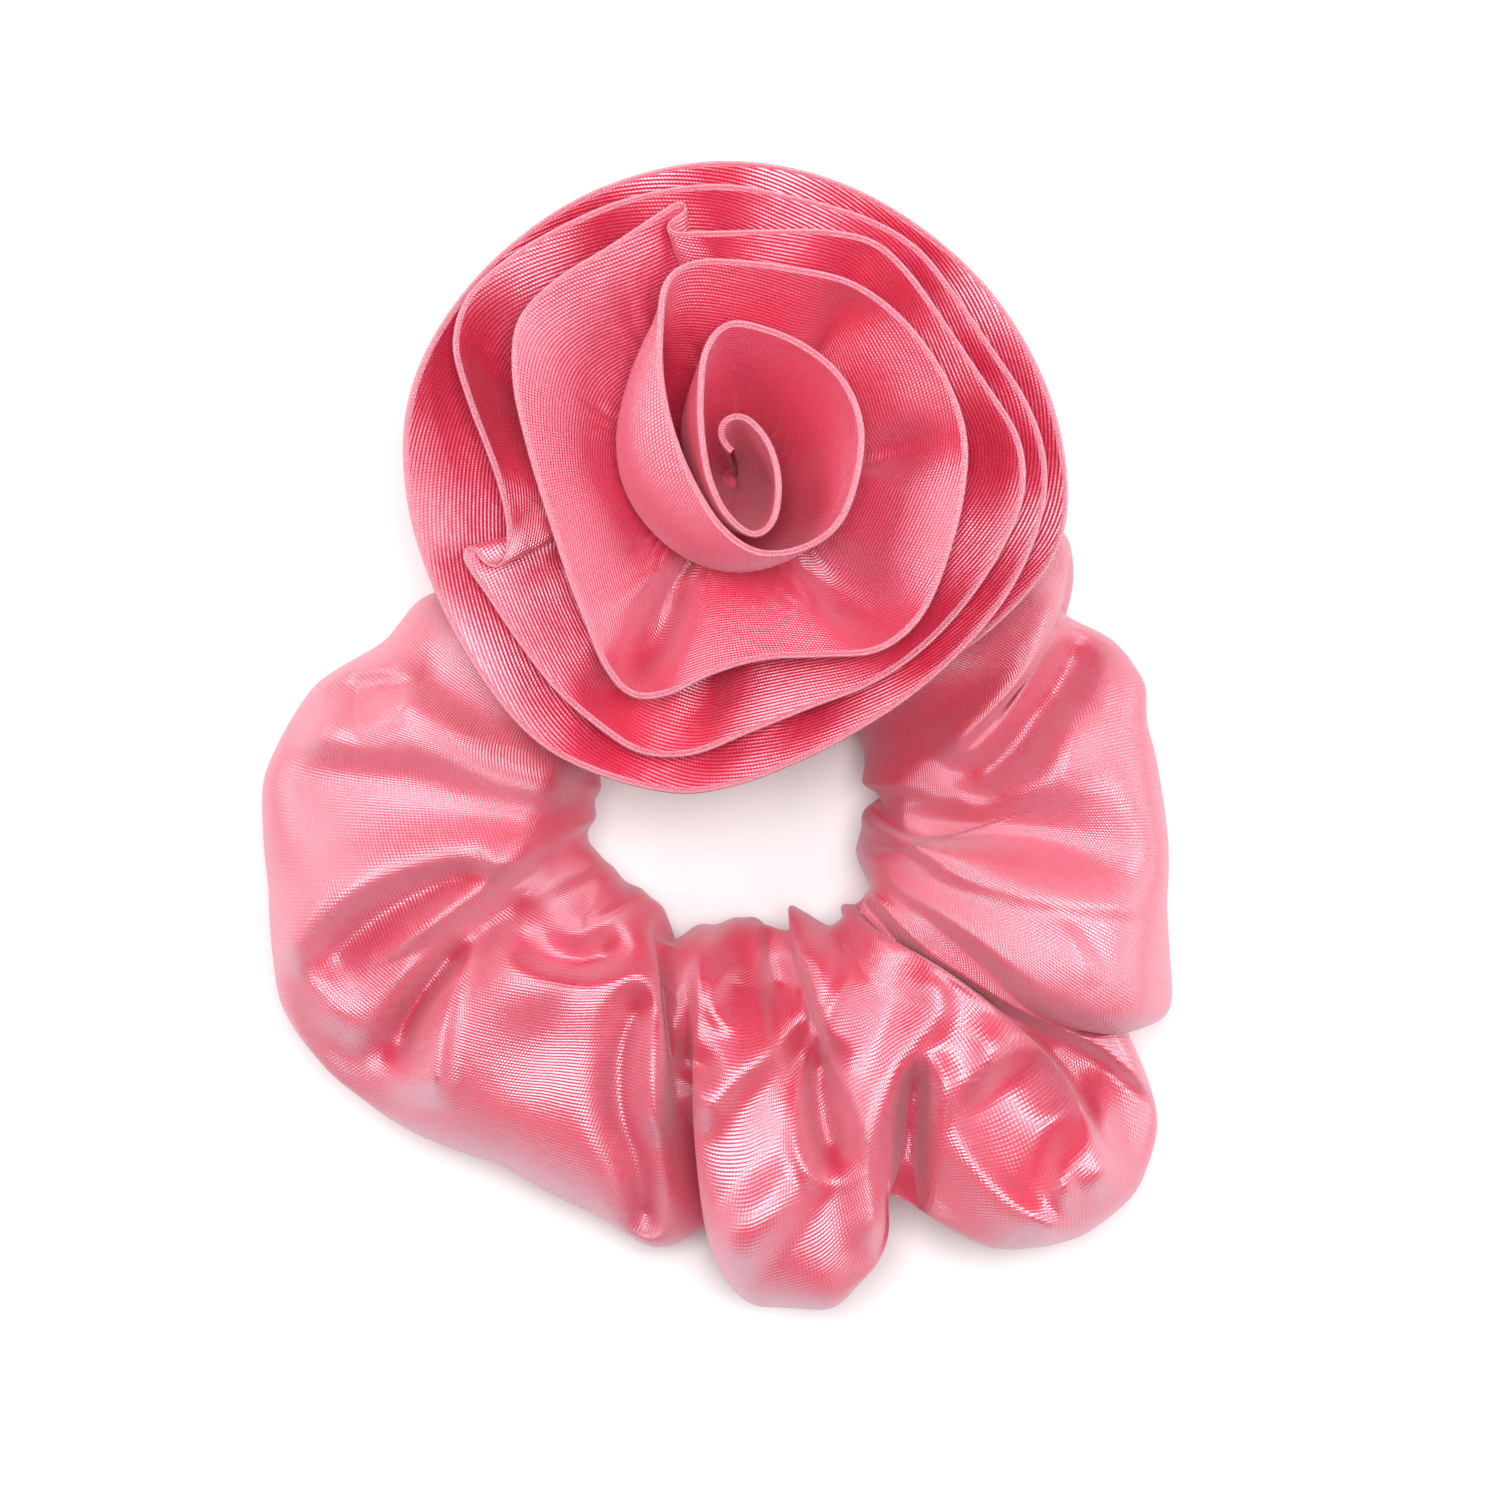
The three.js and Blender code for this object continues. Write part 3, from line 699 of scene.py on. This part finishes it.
TIGHT_REACH = 42          # mm from the middle where the walls begin to be held
TIGHT_FADE = 24           # mm further in, where they are held fully
LEANING_HOLD = 0.6        # how firmly a wall with the full bulge is held
FULL_BULGE = 3
LEAST_HOLD = 0.05
STRIP_SLACK = 1.01        # the cloth is a hundredth higher than the wall it fills
HEIGHT_WINDOW = 12        # stations over which the cloth's height is evened out
HOLLOW_SHIFT = 0.8        # puts a hollow's deepest place just above half way down
HOLLOW_SHARPNESS = 1.2
RIM_FADE = 3
WINDING_CENTRE = 0.8      # mm, the x of the point that the strip winds round
WINDING_WINDOW = 25       # stations over which the winding is smoothed
ROSE_GAP = 0.012          # between two layers of the simulated strip, at the simulation's size
ROSE_FRAMES = 18
ROSE_BENDING = 6.0
RUFFLE = 1.6              # mm, the seeds of the folds towards the gathered edge
RUFFLE_LENGTH = 15.0      # mm
RUFFLE_ROWS = 22
RUFFLE_SEED = 1.7


def rose_rim():
    """Stations along the fold at even steps: x, y, height and bulge in mm, and where each petal starts."""
    knots = [knot for petal in PETALS.values() for knot in petal]
    steps = 24
    curve = spline(knots, steps)
    curve[:, :2] *= RIM_SCALE
    along = np.concatenate([[0], np.cumsum(np.linalg.norm(np.diff(curve[:, :3], axis=0), axis=1))])
    places = np.linspace(0, along[-1], int(along[-1] / STRIP_STEP))
    starts, count = {}, 0
    for name, petal in PETALS.items():
        starts[name] = int(np.searchsorted(places, along[count * steps]))
        count += len(petal)
    return np.stack([np.interp(places, along, curve[:, k]) for k in range(4)], axis=1), places, starts


def winding(rim):
    """The angle that the strip has wound to at each station, clockwise, without the rim's wiggles."""
    angle = -np.unwrap(np.arctan2(rim[:, 1], rim[:, 0] - WINDING_CENTRE))
    return smooth_row(np.maximum.accumulate(angle), WINDING_WINDOW)


def fold_rows(rim, starts):
    """How far each station's wall is pushed outwards by the petals' folds: at the middle and at the rim."""
    angle, wound = np.degrees(np.arctan2(rim[:, 1], rim[:, 0])), winding(rim)
    ends = dict(zip(starts, [*list(starts.values())[1:], len(rim)]))
    middle, edge = np.zeros(len(rim)), np.zeros(len(rim))
    for petal, folds in PETAL_FOLDS.items():
        stations = range(starts[petal], min(ends[petal] + PETAL_OVERLAP, len(rim)))
        for degrees, width, depth, rim_depth in folds:
            off = np.abs((angle - degrees + 180) % 360 - 180)
            nearest = [i for i in stations if off[i] < FOLD_SEARCH][-1]
            bump = np.exp(-((wound - wound[nearest]) / math.radians(width)) ** 2)
            middle += depth * bump
            edge += rim_depth * math.copysign(1, depth) * bump
    for i, inner in enumerate(np.searchsorted(wound, wound - 2 * math.pi)):
        if inner > 0:
            middle[i] = max(middle[i], PETAL_NESTING * middle[inner])
    return smooth_row(middle, 1), smooth_row(edge, 1)


def strip_walls(rim, places):
    """The strip before it settles: each station's wall from the rim down to the gathered edge, in mm."""
    wound = winding(rim)
    share = (wound - wound[0]) / (wound[-1] - wound[0])
    outward = np.stack([np.cos(-wound), np.sin(-wound), np.zeros(len(rim))], axis=1)
    base = outward * (STRIP_CORE + STRIP_SPREAD * share)[:, None]
    base[:, 2] = STRIP_BASE
    top = rim[:, :3]
    run = top - base
    flat_run = run * np.array([1, 1, 0])
    rise = run * np.array([0, 0, 1])
    flare = np.clip(np.linalg.norm(flat_run, axis=1) / FLARE_RUN, 0, 1)[:, None]
    bulge = rim[:, 3:4]
    bend = base + rise * (BEND_RISE + BEND_FLARE * flare) + flat_run * (BEND_RUN - BEND_FLARE * flare)
    bend = bend + outward * bulge * BULGE_OUT + np.array([[0, 0, BULGE_UP]]) * bulge
    t = np.linspace(1, 0, STRIP_ROWS)[None, :, None]
    walls = (1 - t) ** 2 * base[:, None] + 2 * t * (1 - t) * bend[:, None] + t ** 2 * top[:, None]
    normals = grid_normals(walls, False, False)
    middle = np.sin(np.linspace(0, math.pi, STRIP_ROWS))
    for i, place in enumerate(places):
        for row in range(1, STRIP_ROWS - 1):
            ruffle = RUFFLE * noise.noise(Vector((place / RUFFLE_LENGTH, row / RUFFLE_ROWS, RUFFLE_SEED)))
            walls[i, row] += normals[i, row] * middle[row] * ruffle * flare[i]
    return walls


def flat_strip(walls, places):
    """The same strip laid flat, which gives its true lengths."""
    height = np.linalg.norm(np.diff(walls, axis=1), axis=2).sum(axis=1)
    height = np.maximum(height, smooth_row(height, HEIGHT_WINDOW)) * STRIP_SLACK
    flat = np.zeros_like(walls)
    flat[..., 0] = places[:, None]
    flat[..., 1] = -height[:, None] * np.linspace(0, 1, STRIP_ROWS)[None]
    return flat


def strip_pins(walls, rim):
    """The rim and the gathered edge are held; tight turns and leaning walls are partly held between."""
    radius = np.hypot(rim[:, 0], rim[:, 1])
    pins = []
    for i in range(len(walls)):
        tight = min(max((TIGHT_REACH - radius[i]) / TIGHT_FADE, 0), 1)
        leaning = LEANING_HOLD * min(rim[i, 3] / FULL_BULGE, 1)
        for row in range(STRIP_ROWS):
            edge = row in (0, STRIP_ROWS - 1)
            pins.append((i * STRIP_ROWS + row, 1.0 if edge else max(tight, leaning, LEAST_HOLD)))
    return pins


def simulate_strip(walls, flat, rim):
    """Lets the cloth between the rim and the gathered edge find its own folds."""
    stations = len(walls)
    obj = add_object("rose_cloth", walls * MM * SIM, grid_faces(stations, STRIP_ROWS))
    obj.shape_key_add(name="Basis")
    key = obj.shape_key_add(name="flat")
    key.data.foreach_set("co", (flat * MM * SIM).ravel())
    key.value = 0
    cloth = set_cloth(obj, strip_pins(walls, rim), ROSE_BENDING, ROSE_GAP, 0, ROSE_FRAMES)
    cloth.settings.rest_shape_key = key
    points = settle(obj, ROSE_FRAMES) / SIM
    drop(obj)
    return points.reshape(stations, STRIP_ROWS, 3)


def folded_strip(middle):
    """Two layers with a round fold at the rim, from the middle surface of the strip."""
    normals = grid_normals(middle, False, False)
    down = middle[:, 1] - middle[:, 0]
    down /= np.linalg.norm(down, axis=1, keepdims=True)
    rows = middle.shape[1]
    line = [middle[:, row] + normals[:, row] * LAYER for row in range(rows - 1, 0, -1)]
    for turn in np.linspace(0, math.pi, BEAD_STEPS):
        side = normals[:, 0] * LAYER * RIM_BEAD * math.cos(turn)
        line.append(middle[:, 0] + side - down * LAYER * RIM_BEAD * BEAD_HEIGHT * math.sin(turn))
    line += [middle[:, row] - normals[:, row] * LAYER for row in range(1, rows)]
    return np.stack(line, axis=1)


def press_petals(middle, rim, starts):
    """Adds the petals' own hollows and ridges, deepest about half way down the wall."""
    push, edge = fold_rows(rim, starts)
    depth = np.linspace(0, 1, middle.shape[1])
    profile = np.sin(math.pi * depth ** HOLLOW_SHIFT) ** HOLLOW_SHARPNESS
    normals = grid_normals(middle, False, False)
    normals = np.stack([smooth_columns(normals[..., k], 3) for k in range(3)], axis=2)
    amount = push[:, None] * profile[None] + edge[:, None] * (1 - depth[None]) ** RIM_FADE
    return middle + normals * amount[..., None] * MM


def build_rose():
    """The whole rose is one strip of satin, folded lengthwise and rolled up from the heart outwards."""
    rim, places, starts = rose_rim()
    walls = strip_walls(rim, places)
    flat = flat_strip(walls, places)
    middle = simulate_strip(walls, flat, rim)
    middle = press_petals(middle, rim, starts) + np.array([ROSE[0], ROSE[1], 0])
    middle = refine(refine(middle, 0, False), 1, False)
    folded = refine(folded_strip(middle), 0, False)
    normals = grid_normals(folded, False, False)
    height = np.linalg.norm(np.diff(folded, axis=1), axis=2).sum(axis=1).mean()
    spacing = (places[-1] * MM / (len(folded) - 1), height / (folded.shape[1] - 1))
    rose = sheet_mesh("rose_petals", folded, normals, spacing)
    rose.data.materials.append(rose_satin)
    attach(rose, "rose")
    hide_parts("rose_strip")


# ---------------- materials

WEAVE = 0.55 * MM         # the pitch of the satin's twill
SATIN_ROUGHNESS = 0.43


class Nodes:
    """A short way to write a node material."""

    def __init__(self, name):
        self.material = bpy.data.materials.new(name)
        self.material.use_nodes = True
        self.tree = self.material.node_tree
        self.shader = self.tree.nodes["Principled BSDF"]

    def add(self, kind, **settings):
        node = self.tree.nodes.new(kind)
        for key, value in settings.items():
            if hasattr(node, key):
                setattr(node, key, value)
            else:
                node.inputs[key].default_value = value
        return node

    def link(self, output, target):
        self.tree.links.new(output, target)

    def math(self, operation, a, b):
        node = self.add("ShaderNodeMath", operation=operation)
        for slot, value in enumerate((a, b)):
            if isinstance(value, (int, float)):
                node.inputs[slot].default_value = value
            else:
                self.link(value, node.inputs[slot])
        return node.outputs[0]

    def total(self, parts):
        """The sum of outputs, each times its own weight."""
        products = [self.math("MULTIPLY", output, weight) for output, weight in parts]
        result = products[0]
        for product in products[1:]:
            result = self.math("ADD", result, product)
        return result

    def ramp(self, value, stops):
        node = self.add("ShaderNodeValToRGB")
        elements = node.color_ramp.elements
        while len(elements) < len(stops):
            elements.new(0.5)
        for element, (place, colour) in zip(elements, stops):
            element.position = place
            element.color = (*colour, 1)
        self.link(value, node.inputs[0])
        return node.outputs[0]


def satin_material(name, deep, body, pale):
    """Woven satin: long glossy floats in a fine twill, which breaks up the highlights."""
    nodes = Nodes(name)
    shader = nodes.shader
    place = nodes.add("ShaderNodeUVMap", uv_map="cloth")
    split = nodes.add("ShaderNodeSeparateXYZ")
    nodes.link(place.outputs[0], split.inputs[0])
    along, across = split.outputs[0], split.outputs[1]
    pitch = 2 * math.pi / WEAVE
    warp = nodes.math("MULTIPLY", nodes.math("ADD", along, across), pitch * 0.5)
    weft = nodes.math("MULTIPLY", nodes.math("SUBTRACT", along, across), pitch * 0.7)
    weave = nodes.math("MULTIPLY", nodes.math("SINE", warp, 0), nodes.math("SINE", weft, 0))
    slub = nodes.add("ShaderNodeTexNoise", Scale=700.0, Detail=2.0)
    nodes.link(place.outputs[0], slub.inputs["Vector"])
    cloud = nodes.add("ShaderNodeTexNoise", Scale=38.0, Detail=3.0)
    nodes.link(place.outputs[0], cloud.inputs["Vector"])
    tone = nodes.total([(weave, 0.22), (slub.outputs[0], 0.35), (cloud.outputs[0], 0.45)])
    nodes.link(nodes.ramp(tone, [(0.15, deep), (0.40, body), (0.65, pale)]), shader.inputs["Base Color"])
    gloss = nodes.math("ADD", nodes.math("MULTIPLY", slub.outputs[0], 0.16), SATIN_ROUGHNESS - 0.08)
    nodes.link(gloss, shader.inputs["Roughness"])
    shader.inputs["Sheen Weight"].default_value = 0.30
    shader.inputs["Sheen Roughness"].default_value = 0.40
    shader.inputs["Sheen Tint"].default_value = (1.0, 0.75, 0.80, 1)
    shader.inputs["IOR"].default_value = 2.4
    shader.inputs["Specular IOR Level"].default_value = 1.0
    # A cyan tint keeps the highlights pale pink over the strong red of the cloth.
    shader.inputs["Specular Tint"].default_value = (0.42, 0.90, 1.0, 1)
    shader.inputs["Anisotropic"].default_value = 0.6
    tangent = nodes.add("ShaderNodeTangent", direction_type="UV_MAP", uv_map="cloth")
    nodes.link(tangent.outputs[0], shader.inputs["Tangent"])
    creases = nodes.add("ShaderNodeTexNoise", Scale=150.0, Detail=2.0)
    nodes.link(place.outputs[0], creases.inputs["Vector"])
    level = nodes.total([(weave, 0.17), (slub.outputs[0], 0.34), (creases.outputs[0], 0.4)])
    bump = nodes.add("ShaderNodeBump", Strength=0.6, Distance=0.5 * MM)
    nodes.link(level, bump.inputs["Height"])
    nodes.link(bump.outputs[0], shader.inputs["Normal"])
    return nodes.material


def grained_material(name, dark, light, scale, roughness, stretch=(1, 1, 1)):
    """Felt, thread or braided elastic: a grain in colour and height."""
    nodes = Nodes(name)
    place = nodes.add("ShaderNodeTexCoord")
    mapping = nodes.add("ShaderNodeMapping")
    mapping.inputs["Scale"].default_value = stretch
    nodes.link(place.outputs["Object"], mapping.inputs["Vector"])
    grain = nodes.add("ShaderNodeTexNoise", Scale=scale, Detail=4.0)
    nodes.link(mapping.outputs[0], grain.inputs["Vector"])
    nodes.link(nodes.ramp(grain.outputs[0], [(0.35, dark), (0.65, light)]), nodes.shader.inputs["Base Color"])
    nodes.shader.inputs["Roughness"].default_value = roughness
    nodes.shader.inputs["Sheen Weight"].default_value = 0.3
    bump = nodes.add("ShaderNodeBump", Strength=0.6, Distance=0.3 * MM)
    nodes.link(grain.outputs[0], bump.inputs["Height"])
    nodes.link(bump.outputs[0], nodes.shader.inputs["Normal"])
    return nodes.material


def plain_material(name, colour, roughness):
    nodes = Nodes(name)
    nodes.shader.inputs["Base Color"].default_value = (*colour, 1)
    nodes.shader.inputs["Roughness"].default_value = roughness
    return nodes.material


# ---------------- camera, light and floor


VIEW_WIDTH = 210 * MM     # what the picture shows, at the level of the band's folds
VIEW_LEVEL = 25 * MM
VIEW_OFFSET = (2.1 * MM, 5.2 * MM)    # from the ring's centre to the middle of the picture
FLOOR_HALF = 3.0


def build_camera():
    """Straight above the scrunchie, with a long lens."""
    camera = bpy.data.cameras.new("camera")
    camera.lens = 180
    distance = VIEW_WIDTH * camera.lens / camera.sensor_width
    obj = bpy.data.objects.new("camera", camera)
    bpy.context.scene.collection.objects.link(obj)
    obj.location = (RING[0] + VIEW_OFFSET[0], RING[1] + VIEW_OFFSET[1], VIEW_LEVEL + distance)
    bpy.context.scene.camera = obj


def area_light(name, place, size, power):
    """A softbox that faces the scrunchie."""
    light = bpy.data.lights.new(name, "AREA")
    light.shape = "RECTANGLE"
    light.size, light.size_y = size
    light.energy = power
    obj = bpy.data.objects.new(name, light)
    bpy.context.scene.collection.objects.link(obj)
    obj.location = place
    obj.rotation_euler = (Vector((0, 0, 0.03)) - Vector(place)).to_track_quat("-Z", "Y").to_euler()


def build_studio():
    """A pale floor, a dim even sky, a softbox above and a weaker one on each side."""
    scene = bpy.context.scene
    scene.view_settings.view_transform = "Standard"
    world = bpy.data.worlds.new("studio")
    scene.world = world
    world.use_nodes = True
    world.node_tree.nodes["Background"].inputs[0].default_value = (1, 1, 1, 1)
    world.node_tree.nodes["Background"].inputs[1].default_value = 0.28
    area_light("top", (0.05, 0.10, 1.35), (0.60, 0.48), 14.5)
    area_light("left", (-0.60, 0.30, 0.55), (0.55, 0.45), 4.2)
    area_light("right", (0.65, 0.10, 0.50), (0.45, 0.45), 3.2)
    floor = add_object("floor", square(FLOOR_HALF), [(0, 1, 2, 3)])
    floor.data.materials.append(plain_material("floor_white", (0.93, 0.93, 0.93), 0.9))


def dress_cad_nodes():
    """Materials for the small hidden pieces that keep the frame's own shapes."""
    for name, node in frame["nodes"].items():
        if node.hide_render:
            continue
        if name.startswith("elastic_") and "thread" not in name:
            material = braid
        elif name == "rose_backing":
            material = felt
        else:
            material = thread
        node.data.materials.clear()
        node.data.materials.append(material)


build_camera()
satin = satin_material("satin", (0.86, 0.003, 0.032), (0.86, 0.008, 0.058), (0.86, 0.026, 0.092))
rose_satin = satin_material("rose_satin", (0.87, 0.003, 0.034), (0.87, 0.009, 0.062), (0.87, 0.030, 0.098))
felt = grained_material("felt", (0.70, 0.05, 0.11), (0.85, 0.10, 0.18), 900, 0.95)
thread = grained_material("thread", (0.45, 0.05, 0.10), (0.70, 0.18, 0.25), 2500, 0.8)
braid = grained_material("braid", (0.62, 0.25, 0.32), (0.85, 0.48, 0.55), 1500, 0.85, (1, 1, 3))
build_studio()
build_sleeve()
build_rose()
dress_cad_nodes()
